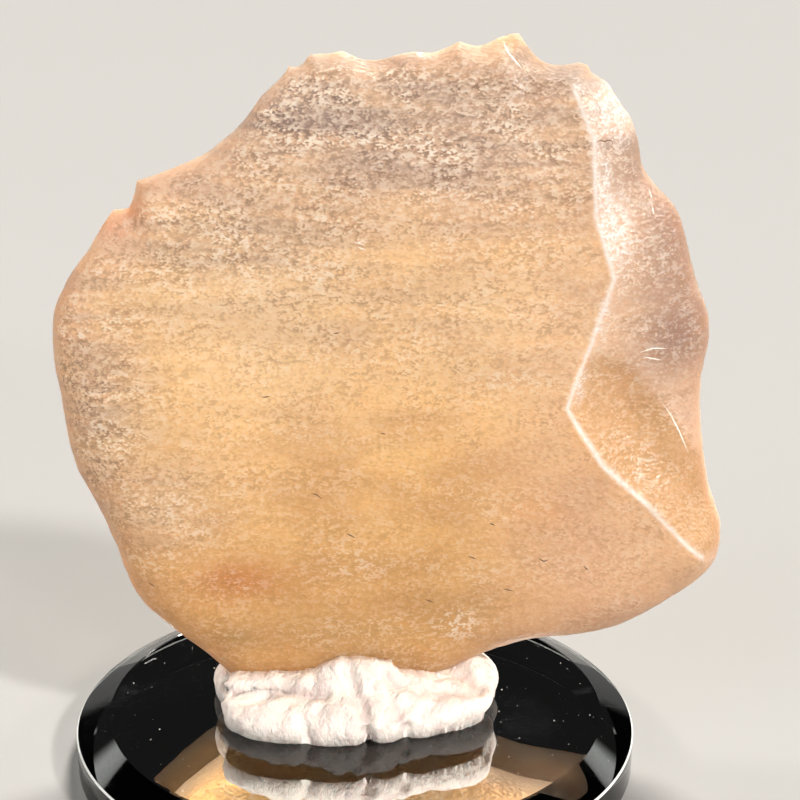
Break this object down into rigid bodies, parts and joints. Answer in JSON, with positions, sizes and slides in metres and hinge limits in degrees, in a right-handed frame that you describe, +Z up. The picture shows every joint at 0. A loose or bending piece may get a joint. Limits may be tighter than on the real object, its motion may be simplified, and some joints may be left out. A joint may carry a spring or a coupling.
{
  "type": "libyan desert glass specimen on a mirror stand",
  "caption": "Thin rounded flake of frosted desert glass with a chipped top edge, held upright in white putty on a round bevelled mirror.",
  "frame": {"origin": "centre of the mirror disc's underside, which is the face that the part stands on", "axes": "+Z up from the surface it stands on; the stone's main face looks along -Y, with +X to its right"},
  "size_m": [0.0592, 0.0508, 0.0647],
  "materials": {
    "desert_glass": "wind-worn frosted natural glass, translucent straw yellow",
    "putty": "kneaded white mounting putty with a wrinkled skin",
    "mirror_glass": "polished clear glass, silvered on its underside, with a ground bevel"
  },
  "bodies": {
    "root": {"desert_glass": "desert_glass", "mounting_putty": "putty", "mirror_disc": "mirror_glass"}
  },
  "joints": []
}
